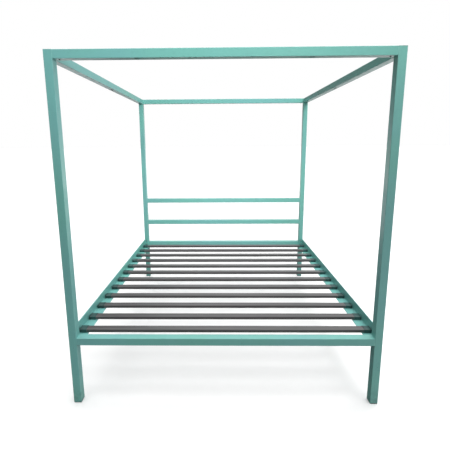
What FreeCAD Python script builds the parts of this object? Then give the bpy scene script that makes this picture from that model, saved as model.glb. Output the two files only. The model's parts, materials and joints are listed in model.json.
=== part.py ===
import FreeCAD, Part
import math
import os

# Four poster canopy bed in square steel tube, king size.
# Millimetres. +Z is up, +X is to the right as seen from the foot of the bed, and +Y runs
# from the foot to the head. The origin is on the floor, under the middle of the bed.

Vector = FreeCAD.Vector

# ---- overall size ------------------------------------------------------------------------
overall_width = 2050.0            # over the outer faces of the posts, along X
overall_length = 2150.0           # over the outer faces of the posts, along Y
overall_height = 2265.0           # floor to the top of the canopy

# ---- square tube of posts and rails ------------------------------------------------------
tube_side = 50.8
tube_wall = 2.0
tube_outer_radius = 3.0
tube_inner_radius = 1.0

# ---- heights of the cross rails ----------------------------------------------------------
bed_rail_top = 477.0              # top face of the foot rail and the head rail
lower_bar_centre = 736.5          # headboard bars
upper_bar_centre = 1017.0

# ---- side rails, rolled steel angle ------------------------------------------------------
angle_leg = 76.2
angle_thickness = 4.8
angle_top = 508.0                 # top edge of the upright leg
angle_root_radius = 6.0
angle_toe_radius = 2.4
end_plate_thickness = 6.0
end_plate_side_inset = 2.4        # from the faces of the post
lower_bolt_gap = 4.8              # from the ledge to the flange of the lower bolt
upper_bolt_edge_distance = 18.1   # from the top edge of the upright leg to the upper bolt's axis

# ---- sockets: square stubs welded to the posts, and the splices of the canopy ------------
stub_length = 60.0
stub_wall = 2.0
stub_clearance = 0.4              # all round, inside the rail
stub_outer_radius = 1.6
stub_inner_radius = 0.5
stub_screw_setback = 30.0         # screw axis from the face of the post
splice_length = 160.0
splice_screw_setback = 14.0       # screw axis from the middle of the canopy

# ---- drain slots, in the underside of the front and rear rails of the canopy ---------------
drain_slot_length = 34.0
drain_slot_width = 14.0
drain_slot_offset = 500.0         # from the middle of the rail to the middle of the slot

# ---- slats -------------------------------------------------------------------------------
slat_count = 12
slat_width = 50.0
slat_height = 22.0
slat_wall = 1.2
slat_outer_radius = 3.0
slat_inner_radius = 1.8
first_slat_gap = 79.0             # from the foot or head rail to the nearest slat
slat_end_clearance = 7.0          # from the slat's end cap to the upright leg of the side rail

# ---- end caps of the slats ---------------------------------------------------------------
cap_length = 50.0
cap_wall = 2.0
cap_end_wall = 2.5
cap_outer_radius = 4.5
cap_fit = 0.1                     # between slat and cap, all round
peg_diameter = 8.0
peg_clearance = 0.4               # radial, in the hole of the ledge
peg_projection = 3.0              # below the ledge
peg_tip_chamfer = 1.2

# ---- post ends ---------------------------------------------------------------------------
top_cap_thickness = 2.0
glide_flange = 5.0                # height of the foot glide below the end of the post
glide_edge_inset = 0.3            # from the faces of the post
glide_sole_radius = 2.5
glide_plug_height = 24.0
glide_plug_clearance = 0.3
glide_plug_wall = 2.5
glide_plug_radius = 1.2

# ---- fasteners ---------------------------------------------------------------------------
bolt_diameter = 8.0
bolt_hole_clearance = 0.3         # radial
bolt_thread_clearance = 0.05      # radial, in the weld nut
bolt_flange_diameter = 17.0
bolt_flange_height = 1.6
bolt_head_flats = 13.0
bolt_head_height = 6.0
bolt_tip_length = 2.5             # beyond the nut
nut_flats = 13.0
nut_height = 6.5
screw_diameter = 6.0
screw_hole_clearance = 0.3        # radial, in the rail
screw_thread_clearance = 0.05     # radial, in the stub
screw_head_diameter = 10.5
screw_head_height = 3.2
screw_head_radius = 2.2
screw_socket_flats = 4.0
screw_socket_depth = 2.0
screw_tip_length = 3.0            # beyond the wall of the stub

# ---- worked out from the sizes above -----------------------------------------------------
half_width = overall_width / 2.0
half_length = overall_length / 2.0
post_x = half_width - tube_side / 2.0
post_y = half_length - tube_side / 2.0
inner_x = half_width - tube_side
inner_y = half_length - tube_side
bed_rail_centre = bed_rail_top - tube_side / 2.0
canopy_centre = overall_height - tube_side / 2.0

stub_side = tube_side - 2.0 * (tube_wall + stub_clearance)
screw_reach = tube_wall + stub_clearance + stub_wall + screw_tip_length

angle_bottom = angle_top - angle_leg
ledge_top = angle_bottom + angle_thickness
angle_half_length = inner_y - end_plate_thickness
lower_bolt_height = ledge_top + lower_bolt_gap + bolt_flange_diameter / 2.0
bolt_spacing = angle_top - upper_bolt_edge_distance - lower_bolt_height
bolt_heights = (lower_bolt_height, lower_bolt_height + bolt_spacing)

slat_pitch = (2.0 * inner_y - 2.0 * first_slat_gap - slat_width) / (slat_count - 1)
slat_centre = ledge_top + cap_wall + slat_height / 2.0
cap_end_x = half_width - angle_thickness - slat_end_clearance
slat_end_x = cap_end_x - cap_end_wall
peg_x = cap_end_x - cap_length / 2.0

SIDES = (("left", -1.0), ("right", 1.0))
ENDS = (("front", -1.0), ("rear", 1.0))


# ---- shape helpers -----------------------------------------------------------------------
def place(axis, along, u, v):
    """A point: 'along' on the named axis, u and v on the other two axes, in X, Y, Z order."""
    if axis == "X":
        return Vector(along, u, v)
    if axis == "Y":
        return Vector(u, along, v)
    return Vector(u, v, along)


def rounded_face(axis, along, corners):
    """A flat face across the axis. Each corner is (u, v, radius)."""
    edges = []
    starts = []
    ends = []
    count = len(corners)
    for index in range(count):
        u, v, radius = corners[index]
        corner = place(axis, along, u, v)
        before = place(axis, along, *corners[index - 1][:2])
        after = place(axis, along, *corners[(index + 1) % count][:2])
        back = (before - corner).normalize()
        ahead = (after - corner).normalize()
        half_angle = back.getAngle(ahead) / 2.0
        start = corner + back * (radius / math.tan(half_angle))
        end = corner + ahead * (radius / math.tan(half_angle))
        starts.append(start)
        ends.append(end)
        if radius > 0.0:
            bisector = (back + ahead).normalize()
            middle = corner + bisector * (radius / math.sin(half_angle) - radius)
            edges.append(Part.Arc(start, middle, end).toShape())
    for index in range(count):
        edges.append(Part.LineSegment(ends[index - 1], starts[index]).toShape())
    return Part.Face(Part.Wire(Part.__sortEdges__(edges)))


def bar(axis, start, end, centre_u, centre_v, side_u, side_v, radius):
    """A solid bar of rounded rectangular section, from start to end along the axis."""
    half_u = side_u / 2.0
    half_v = side_v / 2.0
    corners = [(centre_u - half_u, centre_v - half_v, radius),
               (centre_u + half_u, centre_v - half_v, radius),
               (centre_u + half_u, centre_v + half_v, radius),
               (centre_u - half_u, centre_v + half_v, radius)]
    return rounded_face(axis, start, corners).extrude(place(axis, end - start, 0.0, 0.0))


def hollow_bar(axis, start, end, centre_u, centre_v, side_u, side_v, wall, outer_radius, inner_radius):
    """A rectangular tube, open at both ends."""
    outside = bar(axis, start, end, centre_u, centre_v, side_u, side_v, outer_radius)
    inside = bar(axis, start, end, centre_u, centre_v, side_u - 2.0 * wall, side_v - 2.0 * wall, inner_radius)
    return outside.cut(inside)


def frame_tube(axis, start, end, centre_u, centre_v):
    """A length of the square tube that posts and rails are made of."""
    return hollow_bar(axis, start, end, centre_u, centre_v, tube_side, tube_side,
                      tube_wall, tube_outer_radius, tube_inner_radius)


def socket_tube(axis, start, end, centre_u, centre_v):
    """A length of the smaller square tube that fits inside the rails."""
    return hollow_bar(axis, min(start, end), max(start, end), centre_u, centre_v, stub_side, stub_side,
                      stub_wall, stub_outer_radius, stub_inner_radius)


def rod(base, direction, diameter, length):
    return Part.makeCylinder(diameter / 2.0, length, base, direction)


def hexagon(base, direction, flats, height):
    """A hexagonal prism that stands on base along direction, with two flats level."""
    corner_radius = flats / math.sqrt(3.0)
    side_axis = direction.cross(Vector(1, 0, 0))
    if side_axis.Length < 0.5:
        side_axis = direction.cross(Vector(0, 1, 0))
    side_axis.normalize()
    other_axis = direction.cross(side_axis)
    points = []
    for step in range(7):
        angle = math.radians(60.0 * step)
        points.append(base + side_axis * (corner_radius * math.cos(angle))
                      + other_axis * (corner_radius * math.sin(angle)))
    return Part.Face(Part.makePolygon(points)).extrude(direction * height)


# ---- screw positions in the rails --------------------------------------------------------
def screw_axis_hole(x, y, underside, clearance):
    """The hole that a screw needs, up from the underside of a rail."""
    diameter = screw_diameter + 2.0 * clearance
    return rod(Vector(x, y, underside - 1.0), Vector(0, 0, 1), diameter, screw_reach + 2.0)


def cross_rail_levels():
    """Every rail that runs along X: node name, Y of its axis, Z of its axis."""
    return (("foot_rail", -post_y, bed_rail_centre),
            ("head_rail", post_y, bed_rail_centre),
            ("headboard_lower_bar", post_y, lower_bar_centre),
            ("headboard_upper_bar", post_y, upper_bar_centre),
            ("canopy_front_rail", -post_y, canopy_centre),
            ("canopy_rear_rail", post_y, canopy_centre))


def canopy_side_screw_setbacks():
    """Y of the screws in one half of a canopy side rail, at the post and at the splice."""
    return (inner_y - stub_screw_setback, splice_screw_setback)


# ---- posts and what closes their ends ----------------------------------------------------
def post(side_sign, end_sign):
    body = frame_tube("Z", glide_flange, overall_height - top_cap_thickness,
                      side_sign * post_x, end_sign * post_y)
    for height in bolt_heights:
        start = Vector(side_sign * post_x, end_sign * (inner_y - 1.0), height)
        hole = rod(start, Vector(0, end_sign, 0), bolt_diameter + 2.0 * bolt_hole_clearance, tube_wall + 2.0)
        body = body.cut(hole)
    return body


def post_top_caps():
    caps = []
    for side, side_sign in SIDES:
        for end, end_sign in ENDS:
            caps.append(bar("Z", overall_height - top_cap_thickness, overall_height,
                            side_sign * post_x, end_sign * post_y, tube_side, tube_side, tube_outer_radius))
    return Part.makeCompound(caps)


def foot_glide(side_sign, end_sign):
    """Moulded plug in the open end of a post, with a rounded sole under the tube."""
    x = side_sign * post_x
    y = end_sign * post_y
    sole_side = tube_side - 2.0 * glide_edge_inset
    sole = bar("Z", 0.0, glide_flange, x, y, sole_side, sole_side, tube_outer_radius)
    lowest = [edge for edge in sole.Edges if edge.BoundBox.ZMax < 0.001]
    sole = sole.makeFillet(glide_sole_radius, lowest)
    plug_side = tube_side - 2.0 * (tube_wall + glide_plug_clearance)
    plug = hollow_bar("Z", glide_flange - 1.0, glide_flange + glide_plug_height, x, y, plug_side, plug_side,
                      glide_plug_wall, glide_plug_radius, glide_plug_radius / 2.0)
    return sole.fuse(plug).removeSplitter()


# ---- stubs and splices -------------------------------------------------------------------
def post_stubs(side_sign, end_sign):
    """The stubs welded to one post: one for each rail that meets it."""
    stubs = []
    face_x = side_sign * inner_x
    tip_x = side_sign * (inner_x - stub_length)
    screw_x = side_sign * (inner_x - stub_screw_setback)
    for name, y, z in cross_rail_levels():
        if y * end_sign > 0.0:
            stub = socket_tube("X", face_x, tip_x, y, z)
            stubs.append(stub.cut(screw_axis_hole(screw_x, y, z - tube_side / 2.0, screw_thread_clearance)))
    face_y = end_sign * inner_y
    tip_y = end_sign * (inner_y - stub_length)
    screw_y = end_sign * (inner_y - stub_screw_setback)
    stub = socket_tube("Y", face_y, tip_y, side_sign * post_x, canopy_centre)
    hole = screw_axis_hole(side_sign * post_x, screw_y, canopy_centre - tube_side / 2.0, screw_thread_clearance)
    stubs.append(stub.cut(hole))
    return Part.makeCompound(stubs)


def canopy_splice(side_sign):
    """The sleeve that joins the two halves of a canopy side rail from inside."""
    x = side_sign * post_x
    sleeve = socket_tube("Y", -splice_length / 2.0, splice_length / 2.0, x, canopy_centre)
    for end, end_sign in ENDS:
        y = end_sign * splice_screw_setback
        sleeve = sleeve.cut(screw_axis_hole(x, y, canopy_centre - tube_side / 2.0, screw_thread_clearance))
    return sleeve


# ---- rails -------------------------------------------------------------------------------
def cross_rail(y, z):
    rail = frame_tube("X", -inner_x, inner_x, y, z)
    for side, side_sign in SIDES:
        x = side_sign * (inner_x - stub_screw_setback)
        rail = rail.cut(screw_hole_in_lower_wall(x, y, z))
    if z == canopy_centre:
        for side, side_sign in SIDES:
            rail = rail.cut(drain_slot(side_sign * drain_slot_offset, y, z))
    return rail


def drain_slot(x, y, z):
    """An oblong opening through the lower wall of a rail, with round ends."""
    depth = tube_wall + 2.0
    lowest = z - tube_side / 2.0 - 1.0
    middle_length = drain_slot_length - drain_slot_width
    corner = Vector(x - middle_length / 2.0, y - drain_slot_width / 2.0, lowest)
    slot = Part.makeBox(middle_length, drain_slot_width, depth, corner)
    for end_x in (x - middle_length / 2.0, x + middle_length / 2.0):
        slot = slot.fuse(rod(Vector(end_x, y, lowest), Vector(0, 0, 1), drain_slot_width, depth))
    return slot.removeSplitter()


def screw_hole_in_lower_wall(x, y, z):
    """A hole through the lower wall of a rail whose axis is at height z."""
    start = Vector(x, y, z - tube_side / 2.0 - 1.0)
    return rod(start, Vector(0, 0, 1), screw_diameter + 2.0 * screw_hole_clearance, tube_wall + 2.0)


def canopy_side_rail_half(side_sign, end_sign):
    x = side_sign * post_x
    ends = sorted((0.0, end_sign * inner_y))
    rail = frame_tube("Y", ends[0], ends[1], x, canopy_centre)
    for setback in canopy_side_screw_setbacks():
        rail = rail.cut(screw_hole_in_lower_wall(x, end_sign * setback, canopy_centre))
    return rail


def slat_y(index):
    return -inner_y + first_slat_gap + slat_width / 2.0 + index * slat_pitch


def side_rail(side_sign):
    """Steel angle: the upright leg is outside, and the level leg is the ledge for the slats."""
    outer = side_sign * half_width
    inward = -side_sign
    corners = [(outer, angle_bottom, 0.0),
               (outer + inward * angle_leg, angle_bottom, 0.0),
               (outer + inward * angle_leg, ledge_top, angle_toe_radius),
               (outer + inward * angle_thickness, ledge_top, angle_root_radius),
               (outer + inward * angle_thickness, angle_top, angle_toe_radius),
               (outer, angle_top, 0.0)]
    face = rounded_face("Y", -angle_half_length, corners)
    rail = face.extrude(Vector(0, 2.0 * angle_half_length, 0))
    for index in range(slat_count):
        start = Vector(side_sign * peg_x, slat_y(index), angle_bottom - 1.0)
        hole = rod(start, Vector(0, 0, 1), peg_diameter + 2.0 * peg_clearance, angle_thickness + 2.0)
        rail = rail.cut(hole)
    return rail


def end_plate(side_sign, end_sign):
    """Plate welded across the end of a side rail and bolted to the post."""
    ends = sorted((end_sign * angle_half_length, end_sign * inner_y))
    plate_width = tube_side - 2.0 * end_plate_side_inset
    plate = bar("Y", ends[0], ends[1], side_sign * post_x, angle_bottom + angle_leg / 2.0,
                plate_width, angle_leg, angle_toe_radius)
    for height in bolt_heights:
        start = Vector(side_sign * post_x, ends[0] - 1.0, height)
        hole = rod(start, Vector(0, 1, 0), bolt_diameter + 2.0 * bolt_hole_clearance, end_plate_thickness + 2.0)
        plate = plate.cut(hole)
    return plate


# ---- slats -------------------------------------------------------------------------------
def slat(index):
    return hollow_bar("X", -slat_end_x, slat_end_x, slat_y(index), slat_centre, slat_width, slat_height,
                      slat_wall, slat_outer_radius, slat_inner_radius)


def slat_cap(index, side_sign):
    """Moulded sleeve on the end of a slat. Its peg drops into a hole in the ledge."""
    y = slat_y(index)
    mouth = side_sign * (cap_end_x - cap_length)
    closed_end = side_sign * cap_end_x
    pocket_end = side_sign * slat_end_x
    outer = bar("X", mouth, closed_end, y, slat_centre,
                slat_width + 2.0 * cap_wall, slat_height + 2.0 * cap_wall, cap_outer_radius)
    pocket = bar("X", mouth, pocket_end, y, slat_centre,
                 slat_width + 2.0 * cap_fit, slat_height + 2.0 * cap_fit, slat_outer_radius)
    peg_length = angle_thickness + peg_projection
    peg = rod(Vector(side_sign * peg_x, y, ledge_top - peg_length), Vector(0, 0, 1),
              peg_diameter, peg_length + cap_wall / 2.0)
    tip = [edge for edge in peg.Edges if edge.BoundBox.ZMax < ledge_top - peg_length + 0.001]
    peg = peg.makeChamfer(peg_tip_chamfer, tip)
    return outer.cut(pocket).fuse(peg)


def slat_caps(index):
    return Part.makeCompound([slat_cap(index, side_sign) for side, side_sign in SIDES])


# ---- fasteners ---------------------------------------------------------------------------
def flange_bolt(x, y, z, outward):
    """Hexagon bolt with a flange, under its head at y, and its shank along 'outward' on Y."""
    axis = Vector(0, outward, 0)
    seat = Vector(x, y, z)
    shank_length = end_plate_thickness + tube_wall + nut_height + bolt_tip_length
    shank = rod(seat, axis, bolt_diameter, shank_length)
    flange = rod(seat, axis * -1.0, bolt_flange_diameter, bolt_flange_height)
    head = hexagon(seat, axis * -1.0, bolt_head_flats, bolt_head_height)
    return shank.fuse(flange).fuse(head).removeSplitter()


def side_rail_bolts():
    bolts = []
    for side, side_sign in SIDES:
        for end, end_sign in ENDS:
            for height in bolt_heights:
                bolts.append(flange_bolt(side_sign * post_x, end_sign * angle_half_length, height, end_sign))
    return Part.makeCompound(bolts)


def weld_nuts():
    """Hexagon nuts inside the posts, on the wall that the side rail is bolted to."""
    nuts = []
    for side, side_sign in SIDES:
        for end, end_sign in ENDS:
            axis = Vector(0, end_sign, 0)
            for height in bolt_heights:
                seat = Vector(side_sign * post_x, end_sign * (inner_y + tube_wall), height)
                bore = rod(seat, axis, bolt_diameter + 2.0 * bolt_thread_clearance, nut_height)
                nuts.append(hexagon(seat, axis, nut_flats, nut_height).cut(bore))
    return Part.makeCompound(nuts)


def button_screw(x, y, underside):
    """Button head screw, driven upwards into a rail whose lower face is at 'underside'."""
    up = Vector(0, 0, 1)
    lowest = Vector(x, y, underside - screw_head_height)
    head = rod(lowest, up, screw_head_diameter, screw_head_height)
    rim = [edge for edge in head.Edges if edge.BoundBox.ZMax < lowest.z + 0.001]
    head = head.makeFillet(screw_head_radius, rim)
    socket = hexagon(lowest, up, screw_socket_flats, screw_socket_depth)
    shank = rod(Vector(x, y, underside), up, screw_diameter, screw_reach)
    return head.cut(socket).fuse(shank)


def cross_rail_screws():
    screws = []
    for name, y, z in cross_rail_levels():
        for side, side_sign in SIDES:
            x = side_sign * (inner_x - stub_screw_setback)
            screws.append(button_screw(x, y, z - tube_side / 2.0))
    return Part.makeCompound(screws)


def canopy_side_screws():
    screws = []
    for side, side_sign in SIDES:
        for end, end_sign in ENDS:
            for setback in canopy_side_screw_setbacks():
                screws.append(button_screw(side_sign * post_x, end_sign * setback,
                                           canopy_centre - tube_side / 2.0))
    return Part.makeCompound(screws)


# ---- the whole bed -----------------------------------------------------------------------
def build():
    nodes = {}
    for end, end_sign in ENDS:
        for side, side_sign in SIDES:
            corner = "%s_%s" % (end, side)
            nodes["post_" + corner] = post(side_sign, end_sign)
            nodes["foot_glide_" + corner] = foot_glide(side_sign, end_sign)
            nodes["post_stubs_" + corner] = post_stubs(side_sign, end_sign)
            nodes["side_rail_plate_" + corner] = end_plate(side_sign, end_sign)
            nodes["canopy_side_rail_" + corner] = canopy_side_rail_half(side_sign, end_sign)
    nodes["post_top_caps"] = post_top_caps()
    for name, y, z in cross_rail_levels():
        nodes[name] = cross_rail(y, z)
    for side, side_sign in SIDES:
        nodes["canopy_splice_" + side] = canopy_splice(side_sign)
        nodes["side_rail_" + side] = side_rail(side_sign)
    for index in range(slat_count):
        nodes["slat_%02d" % (index + 1)] = slat(index)
        nodes["slat_caps_%02d" % (index + 1)] = slat_caps(index)
    nodes["side_rail_bolts"] = side_rail_bolts()
    nodes["weld_nuts"] = weld_nuts()
    nodes["cross_rail_screws"] = cross_rail_screws()
    nodes["canopy_side_screws"] = canopy_side_screws()
    return nodes


os.makedirs("parts", exist_ok=True)
for node_name, shape in build().items():
    shape.exportStep("parts/%s.step" % node_name)
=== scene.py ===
"""Looks of the four poster canopy bed: paint, coatings, weld beads, camera and studio.

Everything is in metres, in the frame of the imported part: +X right as seen from the foot, +Y from
the foot to the head, +Z up, with the origin on the floor under the middle of the bed.
"""
import json
import math

import bmesh
import bpy
from mathutils import Matrix, Vector

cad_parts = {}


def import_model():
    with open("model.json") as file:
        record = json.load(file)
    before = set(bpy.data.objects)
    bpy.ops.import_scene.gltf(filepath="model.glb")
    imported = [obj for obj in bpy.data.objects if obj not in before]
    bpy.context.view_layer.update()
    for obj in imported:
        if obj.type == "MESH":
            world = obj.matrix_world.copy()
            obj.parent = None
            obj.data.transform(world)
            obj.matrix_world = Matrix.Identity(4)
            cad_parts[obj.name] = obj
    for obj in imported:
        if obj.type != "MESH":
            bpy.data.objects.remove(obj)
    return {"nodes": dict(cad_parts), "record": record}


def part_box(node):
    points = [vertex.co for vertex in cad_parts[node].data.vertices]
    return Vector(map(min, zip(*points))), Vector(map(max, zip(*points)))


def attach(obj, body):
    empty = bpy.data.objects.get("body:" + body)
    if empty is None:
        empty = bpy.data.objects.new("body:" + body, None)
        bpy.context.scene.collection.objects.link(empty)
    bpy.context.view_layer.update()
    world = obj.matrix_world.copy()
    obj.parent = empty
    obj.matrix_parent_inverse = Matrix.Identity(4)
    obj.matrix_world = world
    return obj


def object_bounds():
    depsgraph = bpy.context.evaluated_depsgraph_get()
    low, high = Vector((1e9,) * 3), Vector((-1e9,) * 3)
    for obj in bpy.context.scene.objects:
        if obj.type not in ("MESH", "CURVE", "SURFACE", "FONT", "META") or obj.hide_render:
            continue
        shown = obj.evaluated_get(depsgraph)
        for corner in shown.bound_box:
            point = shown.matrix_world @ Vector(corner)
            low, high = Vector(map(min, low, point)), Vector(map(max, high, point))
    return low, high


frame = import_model()
cad_low, cad_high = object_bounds()

# ---- sizes that the frame gives ------------------------------------------------------------
POST_LOW, POST_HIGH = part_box("post_front_left")
TUBE = POST_HIGH.x - POST_LOW.x
RAIL_LOW, RAIL_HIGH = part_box("side_rail_left")
ANGLE_LEG = RAIL_HIGH.x - RAIL_LOW.x
HALF_WIDTH = cad_high.x
FRONT_Y = cad_low.y
HEIGHT = cad_high.z

FOOT_RAIL_LOW, FOOT_RAIL_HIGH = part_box("foot_rail")
RAIL_LEVELS = [HEIGHT, HEIGHT - TUBE, FOOT_RAIL_HIGH.z, FOOT_RAIL_LOW.z]
for bar in ("headboard_lower_bar", "headboard_upper_bar"):
    RAIL_LEVELS.extend([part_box(bar)[0].z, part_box(bar)[1].z])

# ---- camera, at the photograph's place -----------------------------------------------------
CAMERA_X = -0.0117
CAMERA_BEFORE_FOOT = 1.9006       # from the front faces of the posts
CAMERA_HEIGHT = 1.7318
CAMERA_YAW = -0.0138
CAMERA_PITCH = -0.1644
CAMERA_ROLL = -0.0061
CAMERA_LENS = 25.53
CAMERA_SHIFT = (0.0155, -0.0630)


# ---- node helpers --------------------------------------------------------------------------
class Nodes:
    """A node tree, with short calls for the nodes used here. It belongs to a material or the world."""

    def __init__(self, owner, output, shader, coordinates):
        owner.use_nodes = True
        self.tree = owner.node_tree
        self.tree.nodes.clear()
        self.shader = self.tree.nodes.new(shader)
        self.tree.links.new(self.shader.outputs[0], self.tree.nodes.new(output).inputs["Surface"])
        self.place = self.tree.nodes.new("ShaderNodeTexCoord").outputs[coordinates]

    def feed(self, socket, value):
        if isinstance(value, bpy.types.NodeSocket):
            self.tree.links.new(value, socket)
        else:
            socket.default_value = value

    def stretched(self, scale):
        """Object coordinates times a scale for each axis."""
        node = self.tree.nodes.new("ShaderNodeVectorMath")
        node.operation = "MULTIPLY"
        self.feed(node.inputs[0], self.place)
        node.inputs[1].default_value = scale
        return node.outputs[0]

    def noise(self, scale, detail=2.0, roughness=0.5, place=None, distortion=0.0):
        node = self.tree.nodes.new("ShaderNodeTexNoise")
        self.feed(node.inputs["Vector"], place or self.place)
        node.inputs["Scale"].default_value = scale
        node.inputs["Detail"].default_value = detail
        node.inputs["Roughness"].default_value = roughness
        node.inputs["Distortion"].default_value = distortion
        return node.outputs["Fac"]

    def spots(self, scale, place=None):
        """Distance to the nearest of scattered points, in cells."""
        node = self.tree.nodes.new("ShaderNodeTexVoronoi")
        self.feed(node.inputs["Vector"], place or self.place)
        node.inputs["Scale"].default_value = scale
        return node.outputs["Distance"]

    def ramp(self, value, low, high, start=0.0, end=1.0):
        """Runs smoothly from start at low to end at high."""
        node = self.tree.nodes.new("ShaderNodeMapRange")
        node.interpolation_type = "SMOOTHSTEP"
        self.feed(node.inputs["Value"], value)
        node.inputs["From Min"].default_value = low
        node.inputs["From Max"].default_value = high
        node.inputs["To Min"].default_value = start
        node.inputs["To Max"].default_value = end
        return node.outputs["Result"]

    def math(self, operation, first, second=0.0):
        node = self.tree.nodes.new("ShaderNodeMath")
        node.operation = operation
        self.feed(node.inputs[0], first)
        self.feed(node.inputs[1], second)
        return node.outputs[0]

    def mix(self, share, first, second):
        """Colour between first and second."""
        node = self.tree.nodes.new("ShaderNodeMix")
        node.data_type = "RGBA"
        self.feed(node.inputs["Factor"], share)
        self.feed(node.inputs["A"], first)
        self.feed(node.inputs["B"], second)
        return node.outputs["Result"]

    def axis(self, name, vector=None):
        node = self.tree.nodes.new("ShaderNodeSeparateXYZ")
        self.feed(node.inputs[0], vector or self.place)
        return node.outputs[name]

    def bump(self, height, strength, distance, below=None):
        node = self.tree.nodes.new("ShaderNodeBump")
        self.feed(node.inputs["Height"], height)
        node.inputs["Strength"].default_value = strength
        node.inputs["Distance"].default_value = distance
        if below is not None:
            self.feed(node.inputs["Normal"], below)
        return node.outputs["Normal"]

    def near(self, value, places, reach=0.0030):
        """1 where the value is at one of the places, fading to 0 at the reach from it."""
        gaps = [self.math("ABSOLUTE", self.math("SUBTRACT", value, place)) for place in places]
        nearest = gaps[0]
        for gap in gaps[1:]:
            nearest = self.math("MINIMUM", nearest, gap)
        return self.ramp(nearest, reach, 0.0007)


def surface(name):
    """The nodes of a new material, whose coordinates are metres in the frame of the part."""
    material = bpy.data.materials.new(name)
    nodes = Nodes(material, "ShaderNodeOutputMaterial", "ShaderNodeBsdfPrincipled", "Object")
    nodes.material = material
    return nodes


def colour(red, green, blue):
    return (red, green, blue, 1.0)


# ---- materials -----------------------------------------------------------------------------
def teal_paint():
    """Satin powder coat in blue green: blotches, orange peel, scuffs, chips, grime near the floor, and a painted
    highlight along the long edges of the tubes.
    """
    n = surface("teal_paint")
    blotch = n.ramp(n.noise(1.7, 3.0, 0.55), 0.36, 0.64)
    base = n.mix(blotch, colour(0.146, 0.425, 0.368), colour(0.152, 0.408, 0.392))
    cloud = n.ramp(n.noise(9.0, 4.0, 0.6), 0.30, 0.70)
    base = n.mix(n.math("MULTIPLY", cloud, 0.30), base, colour(0.172, 0.462, 0.418))
    dull = n.ramp(n.noise(46.0, 3.0, 0.65), 0.52, 0.74)
    base = n.mix(n.math("MULTIPLY", dull, 0.22), base, colour(0.110, 0.318, 0.286))
    height = n.axis("Z")
    grime = n.math("MULTIPLY", n.ramp(height, 0.16, 0.0), n.ramp(n.noise(28.0, 5.0, 0.7), 0.30, 0.62))
    base = n.mix(n.math("MULTIPLY", grime, 0.55), base, colour(0.082, 0.175, 0.158))
    scuff_place = n.stretched((5.0, 5.0, 26.0))
    scuff = n.math("MULTIPLY", n.ramp(n.noise(5.0, 6.0, 0.75, scuff_place), 0.66, 0.74),
                   n.ramp(n.noise(2.3, 1.0), 0.52, 0.66))
    base = n.mix(n.math("MULTIPLY", scuff, 0.35), base, colour(0.330, 0.560, 0.510))
    # Painted highlight: the masks below find the long edges of the tubes, and the colour there is lightened in
    # patches broken up by noise, where rounded edges would catch light.
    right, ahead = n.math("ABSOLUTE", n.axis("X")), n.math("ABSOLUTE", n.axis("Y"))
    across = n.near(right, (HALF_WIDTH, HALF_WIDTH - TUBE))
    along = n.near(ahead, (-FRONT_Y, -FRONT_Y - TUBE))
    in_post = n.math("MULTIPLY", n.math("GREATER_THAN", right, HALF_WIDTH - TUBE - 0.0002),
                     n.math("GREATER_THAN", ahead, -FRONT_Y - TUBE - 0.0002))
    upward = n.math("MULTIPLY", n.near(height, RAIL_LEVELS), n.math("SUBTRACT", 1.0, in_post))
    corner = n.math("MAXIMUM", n.math("MULTIPLY", across, along),
                    n.math("MULTIPLY", n.math("MAXIMUM", across, along), upward))
    # Painted highlight along the tube edges, lightened towards a pale teal.
    lightened_patch = n.math("MULTIPLY", corner, n.ramp(n.noise(13.0, 4.0, 0.65), 0.38, 0.62))
    base = n.mix(n.math("MULTIPLY", lightened_patch, 0.60), base, colour(0.300, 0.620, 0.560))
    chips = n.math("MULTIPLY", n.ramp(n.spots(34.0), 0.085, 0.055), n.ramp(n.noise(3.1, 1.0), 0.60, 0.64))
    nicks = n.math("MULTIPLY", corner, n.ramp(n.noise(95.0, 3.0, 0.6), 0.68, 0.72))
    chips = n.math("MAXIMUM", chips, nicks)
    base = n.mix(n.math("MULTIPLY", chips, 0.85), base, colour(0.060, 0.085, 0.082))
    n.feed(n.shader.inputs["Base Color"], base)
    rough = n.math("ADD", n.ramp(n.noise(24.0, 4.0, 0.6), 0.25, 0.75, 0.33, 0.47),
                   n.math("MULTIPLY", n.math("MAXIMUM", grime, chips), 0.22))
    n.feed(n.shader.inputs["Roughness"], rough)
    peel = n.bump(n.noise(420.0, 2.0, 0.5), 0.16, 0.0006)
    waves = n.bump(n.noise(38.0, 2.0, 0.5), 0.10, 0.0020, peel)
    dents = n.bump(n.math("SUBTRACT", 1.0, chips), 0.30, 0.0004, waves)
    n.feed(n.shader.inputs["Normal"], dents)
    n.shader.inputs["IOR"].default_value = 1.50
    n.shader.inputs["Coat Weight"].default_value = 0.26
    n.shader.inputs["Coat Roughness"].default_value = 0.22
    return n.material


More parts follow.
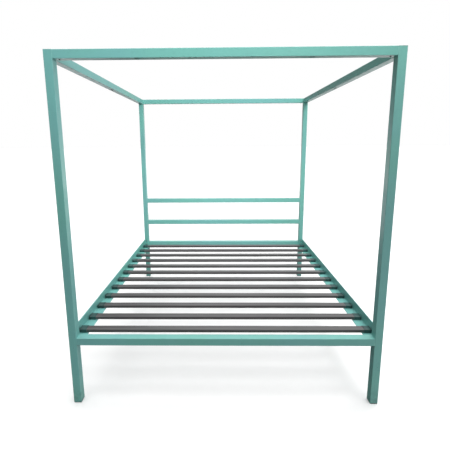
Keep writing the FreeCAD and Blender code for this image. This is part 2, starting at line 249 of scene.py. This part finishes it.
def slat_coating():
    """Semi-matt dark grey coating on steel, with long pale streaks along the slats: a painted highlight in the
    colour, and lower roughness there as on worn, polished coating.
    """
    n = surface("slat_coating")
    along = n.stretched((1.0, 60.0, 60.0))
    streak = n.ramp(n.noise(1.4, 5.0, 0.62, along), 0.34, 0.70)
    base = n.mix(streak, colour(0.035, 0.034, 0.035), colour(0.074, 0.072, 0.073))
    patch = n.ramp(n.noise(2.1, 3.0, 0.6, n.stretched((1.0, 3.0, 3.0))), 0.40, 0.66)
    base = n.mix(n.math("MULTIPLY", patch, 0.35), base, colour(0.060, 0.053, 0.056))
    # Painted highlight: pale grey streaks along the slats lighten the dark coating where highlights would fall; the
    # same streaks also lower the roughness further down.
    highlight_streak = n.math("MULTIPLY", n.ramp(n.noise(2.6, 4.0, 0.7, along), 0.60, 0.76),
                 n.ramp(n.noise(1.5, 2.0, 0.5, n.stretched((1.0, 6.0, 6.0))), 0.50, 0.66))
    base = n.mix(n.math("MULTIPLY", highlight_streak, 0.60), base, colour(0.300, 0.300, 0.300))
    specks = n.ramp(n.spots(120.0), 0.10, 0.05)
    base = n.mix(n.math("MULTIPLY", specks, 0.30), base, colour(0.016, 0.016, 0.017))
    n.feed(n.shader.inputs["Base Color"], base)
    rough = n.math("SUBTRACT", n.ramp(n.noise(1.8, 4.0, 0.6, along), 0.25, 0.75, 0.40, 0.56),
                   n.math("MULTIPLY", highlight_streak, 0.14))
    n.feed(n.shader.inputs["Roughness"], rough)
    grain = n.bump(n.noise(300.0, 2.0, 0.5), 0.14, 0.0005)
    lines = n.bump(n.noise(3.0, 3.0, 0.6, n.stretched((1.0, 220.0, 220.0))), 0.10, 0.0006, grain)
    n.feed(n.shader.inputs["Normal"], lines)
    n.shader.inputs["IOR"].default_value = 1.50
    n.shader.inputs["Coat Weight"].default_value = 0.95
    n.shader.inputs["Coat Roughness"].default_value = 0.30
    return n.material


def cap_plastic():
    """Moulded polyethylene, nearly black with a green cast, waxy and lightly scratched."""
    n = surface("cap_plastic")
    cast = n.ramp(n.noise(14.0, 3.0, 0.6), 0.32, 0.68)
    base = n.mix(cast, colour(0.012, 0.036, 0.036), colour(0.020, 0.074, 0.070))
    dust = n.ramp(n.noise(70.0, 4.0, 0.7), 0.56, 0.78)
    base = n.mix(n.math("MULTIPLY", dust, 0.30), base, colour(0.060, 0.100, 0.096))
    scratch = n.ramp(n.noise(4.0, 3.0, 0.6, n.stretched((140.0, 16.0, 16.0))), 0.66, 0.74)
    base = n.mix(n.math("MULTIPLY", scratch, 0.25), base, colour(0.080, 0.125, 0.120))
    n.feed(n.shader.inputs["Base Color"], base)
    n.feed(n.shader.inputs["Roughness"], n.ramp(n.noise(40.0, 3.0, 0.6), 0.25, 0.75, 0.30, 0.46))
    texture = n.bump(n.noise(650.0, 2.0, 0.5), 0.18, 0.0004)
    n.feed(n.shader.inputs["Normal"], texture)
    n.shader.inputs["IOR"].default_value = 1.52
    n.shader.inputs["Coat Weight"].default_value = 0.30
    n.shader.inputs["Coat Roughness"].default_value = 0.25
    return n.material


def glide_plastic():
    """Moulded nylon, dark grey green, with a scuffed and dusty sole."""
    n = surface("glide_plastic")
    base = n.mix(n.ramp(n.noise(36.0, 3.0, 0.6), 0.3, 0.7), colour(0.030, 0.055, 0.052), colour(0.045, 0.080, 0.075))
    sole = n.math("MULTIPLY", n.ramp(n.axis("Z"), 0.004, 0.0), n.ramp(n.noise(180.0, 4.0, 0.7), 0.35, 0.65))
    base = n.mix(n.math("MULTIPLY", sole, 0.60), base, colour(0.140, 0.135, 0.125))
    n.feed(n.shader.inputs["Base Color"], base)
    n.feed(n.shader.inputs["Roughness"], n.ramp(sole, 0.0, 1.0, 0.42, 0.70))
    n.feed(n.shader.inputs["Normal"], n.bump(n.noise(500.0, 2.0, 0.5), 0.20, 0.0004))
    return n.material


def stub_primer():
    """Matt grey primer with drips of bare steel where the rails wear on it."""
    n = surface("stub_primer")
    base = n.mix(n.ramp(n.noise(22.0, 4.0, 0.65), 0.3, 0.7), colour(0.150, 0.155, 0.160), colour(0.215, 0.220, 0.225))
    lightened_patch = n.ramp(n.noise(5.0, 4.0, 0.7, n.stretched((4.0, 4.0, 30.0))), 0.60, 0.72)
    base = n.mix(n.math("MULTIPLY", lightened_patch, 0.5), base, colour(0.380, 0.375, 0.365))
    n.feed(n.shader.inputs["Base Color"], base)
    n.feed(n.shader.inputs["Roughness"], n.ramp(lightened_patch, 0.0, 1.0, 0.72, 0.48))
    n.feed(n.shader.inputs["Normal"], n.bump(n.noise(260.0, 3.0, 0.6), 0.20, 0.0004))
    return n.material


def plated_steel(name, dark, light, low_rough, high_rough):
    """Plated or oxidised steel of bolts, nuts and screws, with fine turning marks and stains."""
    n = surface(name)
    base = n.mix(n.ramp(n.noise(90.0, 4.0, 0.6), 0.3, 0.7), dark, light)
    stain = n.ramp(n.noise(24.0, 3.0, 0.7), 0.55, 0.75)
    base = n.mix(n.math("MULTIPLY", stain, 0.35), base, colour(0.120, 0.105, 0.080))
    n.feed(n.shader.inputs["Base Color"], base)
    n.shader.inputs["Metallic"].default_value = 1.0
    n.feed(n.shader.inputs["Roughness"], n.ramp(n.noise(160.0, 3.0, 0.6), 0.25, 0.75, low_rough, high_rough))
    n.feed(n.shader.inputs["Normal"], n.bump(n.noise(700.0, 2.0, 0.5), 0.15, 0.0003))
    return n.material


MATERIALS = {
    "teal_paint": teal_paint(),
    "slat_coating": slat_coating(),
    "cap_plastic": cap_plastic(),
    "glide_plastic": glide_plastic(),
    "stub_primer": stub_primer(),
    "zinc_steel": plated_steel("zinc_steel", colour(0.42, 0.43, 0.43), colour(0.60, 0.60, 0.58), 0.24, 0.40),
    "black_steel": plated_steel("black_steel", colour(0.030, 0.031, 0.034), colour(0.060, 0.062, 0.066), 0.30, 0.46),
}
SLOT_OF = {part["node"]: part["material_slot"] for part in frame["record"]["subparts"]}


# ---- CAD nodes: materials and slightly broken edges ----------------------------------------
EDGE_ROUND = {"teal_paint": 0.0006, "slat_coating": 0.0005, "cap_plastic": 0.0007, "glide_plastic": 0.0006}


def dress(node, thing):
    """The record's material, and edges broken as paint, coating or moulding leaves them."""
    slot = SLOT_OF[node]
    thing.data.materials.clear()
    thing.data.materials.append(MATERIALS[slot])
    for polygon in thing.data.polygons:
        polygon.material_index = 0
    if slot in EDGE_ROUND:
        weld = thing.modifiers.new("join", "WELD")
        weld.merge_threshold = 0.00002
        bevel = thing.modifiers.new("break_edges", "BEVEL")
        bevel.width = EDGE_ROUND[slot]
        bevel.segments = 2
        bevel.limit_method = "ANGLE"
        bevel.angle_limit = math.radians(50.0)
        bevel.harden_normals = True
        shade = thing.modifiers.new("shade", "WEIGHTED_NORMAL")
        shade.keep_sharp = False


for node, thing in frame["nodes"].items():
    dress(node, thing)


# ---- weld beads where the side rails meet their end plates ---------------------------------
BEAD_LEG = 0.0036
BEAD_STEP = 0.0006
RIPPLE_PITCH = 0.0021


def bead(name, points, inward, onward):
    """A fillet weld along straight runs between points, with the overlapped crescents of its passes.

    The section is a quarter that fills the corner between the inward and onward directions.
    """
    mesh = bmesh.new()
    rings = []
    travelled = 0.0
    for start, stop, side in zip(points, points[1:], inward):
        run = Vector(stop) - Vector(start)
        count = max(2, int(run.length / BEAD_STEP))
        for step in range(count + 1):
            share = step / count
            phase = ((travelled + run.length * share) / RIPPLE_PITCH) % 1.0
            swell = 1.0 + 0.16 * math.sin(math.pi * phase) + 0.05 * math.sin(2.3 * (travelled + run.length * share) / 0.011)
            end_taper = min(1.0, 0.45 + 9.0 * min(share, 1.0 - share))
            leg = BEAD_LEG * swell * end_taper
            ring = [mesh.verts.new(Vector(start) + run * share)]
            for turn in range(7):
                angle = math.pi / 2.0 * turn / 6.0
                reach = leg * (0.80 + 0.20 * abs(math.cos(2.0 * angle)))
                lean = run.normalized() * (0.35 * BEAD_LEG * math.sin(2.0 * angle))
                ring.append(mesh.verts.new(Vector(start) + run * share + lean
                                           + Vector(side) * reach * math.cos(angle)
                                           + Vector(onward) * reach * math.sin(angle)))
            rings.append(ring)
        travelled += run.length
    for first, second in zip(rings, rings[1:]):
        for index in range(len(first)):
            following = (index + 1) % len(first)
            mesh.faces.new((first[index], first[following], second[following], second[index]))
    mesh.faces.new(rings[0][::-1])
    mesh.faces.new(rings[-1])
    bmesh.ops.recalc_face_normals(mesh, faces=mesh.faces)
    data = bpy.data.meshes.new(name)
    mesh.to_mesh(data)
    mesh.free()
    data.shade_smooth()
    data.materials.append(MATERIALS["teal_paint"])
    thing = bpy.data.objects.new(name, data)
    bpy.context.scene.collection.objects.link(thing)
    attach(thing, "frame")


PLATE_THICKNESS = 0.006
ANGLE_THICKNESS = 0.0048
LEDGE_TOP = RAIL_LOW.z + ANGLE_THICKNESS

for side_name, side in (("left", -1.0), ("right", 1.0)):
    inner_face = side * (HALF_WIDTH - ANGLE_THICKNESS)
    ledge_edge = side * (HALF_WIDTH - ANGLE_LEG)
    for end_name in ("front", "rear"):
        plate_low, plate_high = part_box("side_rail_plate_" + end_name + "_" + side_name)
        face = plate_high.y if end_name == "front" else plate_low.y
        onward = (0.0, 1.0, 0.0) if end_name == "front" else (0.0, -1.0, 0.0)
        bead("weld_inside_" + end_name + "_" + side_name,
             [(inner_face, face, RAIL_HIGH.z - 0.004), (inner_face, face, LEDGE_TOP), (ledge_edge, face, LEDGE_TOP)],
             [(-side, 0.0, 0.0), (0.0, 0.0, 1.0)], onward)


# ---- studio --------------------------------------------------------------------------------
def look_at(thing, target):
    thing.rotation_mode = "QUATERNION"
    thing.rotation_quaternion = (Vector(target) - thing.location).to_track_quat("-Z", "Y")


def area_light(name, place, target, size, power, spread=180.0):
    data = bpy.data.lights.new(name, "AREA")
    data.shape = "RECTANGLE"
    data.size, data.size_y = size
    data.energy = power
    data.spread = math.radians(spread)
    light = bpy.data.objects.new(name, data)
    light.visible_camera = False
    light.visible_glossy = False
    light.location = place
    bpy.context.scene.collection.objects.link(light)
    look_at(light, target)


def floor():
    mesh = bpy.data.meshes.new("floor")
    half = 140.0
    mesh.from_pydata([(-half, -half, 0.0), (half, -half, 0.0), (half, half, 0.0), (-half, half, 0.0)],
                     [], [(0, 1, 2, 3)])
    plane = bpy.data.objects.new("floor", mesh)
    bpy.context.scene.collection.objects.link(plane)
    n = surface("pale_floor")
    shade = n.ramp(n.noise(0.6, 3.0, 0.5), 0.3, 0.7)
    n.feed(n.shader.inputs["Base Color"], n.mix(shade, colour(0.93, 0.93, 0.93), colour(0.95, 0.95, 0.95)))
    n.shader.inputs["Roughness"].default_value = 0.75
    mesh.materials.append(n.material)
    plane.visible_diffuse = False
    plane.visible_glossy = False


def backdrop():
    """A plain white dome that only the camera sees. The world lights the bed through it."""
    dome = bmesh.new()
    bmesh.ops.create_icosphere(dome, subdivisions=4, radius=150.0)
    mesh = bpy.data.meshes.new("backdrop")
    dome.to_mesh(mesh)
    dome.free()
    mesh.shade_smooth()
    thing = bpy.data.objects.new("backdrop", mesh)
    bpy.context.scene.collection.objects.link(thing)
    material = bpy.data.materials.new("white_backdrop")
    n = Nodes(material, "ShaderNodeOutputMaterial", "ShaderNodeEmission", "Object")
    n.shader.inputs["Color"].default_value = colour(1.0, 1.0, 1.0)
    n.shader.inputs["Strength"].default_value = 1.0
    mesh.materials.append(material)
    thing.visible_diffuse = False
    thing.visible_glossy = False
    thing.visible_transmission = False
    thing.visible_shadow = False


def world():
    """A graded studio, brightest overhead and behind the head of the bed, and dim to its left."""
    made = bpy.data.worlds.new("studio")
    bpy.context.scene.world = made
    n = Nodes(made, "ShaderNodeOutputWorld", "ShaderNodeBackground", "Generated")
    across, along, height = n.axis("X"), n.axis("Y"), n.axis("Z")
    side = n.math("ADD", n.ramp(across, -0.5, 0.8, 0.04, 0.62), n.ramp(along, 0.1, -0.7, 0.0, 0.26))
    low = n.math("MULTIPLY", side, n.ramp(height, -0.02, 0.0, 0.8, 1.0))
    behind = n.math("MULTIPLY", n.ramp(along, 0.35, 0.75), n.ramp(height, -0.45, -0.15))
    left_wall = n.math("MULTIPLY", n.ramp(across, -0.05, -0.32), n.ramp(height, 0.0, 0.10, 0.0, 0.8))
    behind = n.math("MULTIPLY", behind, n.math("SUBTRACT", 1.0, left_wall))
    floor_middle = n.math("MULTIPLY", n.ramp(n.math("ABSOLUTE", across), 0.40, 0.28), n.ramp(height, -0.15, -0.21))
    behind = n.math("MULTIPLY", behind, n.math("SUBTRACT", 1.0, floor_middle))
    dim_band = n.math("MULTIPLY", n.ramp(height, 0.02, 0.14), n.ramp(height, 0.52, 0.34, 0.0, 0.45))
    glow = n.math("MULTIPLY", n.ramp(height, -0.04, 0.0, 1.9, 1.05), n.math("SUBTRACT", 1.0, dim_band))
    level = n.math("ADD", low, n.math("MULTIPLY", behind, n.math("SUBTRACT", glow, low)))
    overhead = n.ramp(height, 0.62, 0.95)
    level = n.math("ADD", level, n.math("MULTIPLY", overhead, n.math("SUBTRACT", 2.8, level)))
    n.shader.inputs["Color"].default_value = colour(1.0, 1.0, 1.0)
    n.feed(n.shader.inputs["Strength"], level)


def camera():
    data = bpy.data.cameras.new("camera")
    data.sensor_width = 36.0
    data.lens = CAMERA_LENS
    data.shift_x, data.shift_y = CAMERA_SHIFT
    data.clip_end = 180.0
    thing = bpy.data.objects.new("camera", data)
    bpy.context.scene.collection.objects.link(thing)
    ahead = Vector((math.sin(CAMERA_YAW) * math.cos(CAMERA_PITCH),
                    math.cos(CAMERA_YAW) * math.cos(CAMERA_PITCH),
                    math.sin(CAMERA_PITCH)))
    level = Vector((math.cos(CAMERA_YAW), -math.sin(CAMERA_YAW), 0.0))
    upright = level.cross(ahead)
    right = level * math.cos(CAMERA_ROLL) + upright * math.sin(CAMERA_ROLL)
    up = upright * math.cos(CAMERA_ROLL) - level * math.sin(CAMERA_ROLL)
    turn = Matrix((right, up, -ahead)).transposed()
    thing.matrix_world = Matrix.Translation((CAMERA_X, FRONT_Y - CAMERA_BEFORE_FOOT, CAMERA_HEIGHT)) @ turn.to_4x4()
    bpy.context.scene.camera = thing


floor()
backdrop()
world()
area_light("high_front", (0.9, -5.0, 3.3), (0.0, FRONT_Y, 3.0), (1.4, 0.5), 16.5, 50.0)
area_light("over_bed", (1.6, -0.6, 3.4), (0.0, -FRONT_Y, 1.0), (1.0, 0.5), 16.0, 140.0)
area_light("head_fill", (0.1, -0.55, 1.45), (0.0, -FRONT_Y, 0.80), (1.7, 1.0), 7.8, 115.0)
camera()
bpy.context.scene.view_settings.view_transform = "Standard"
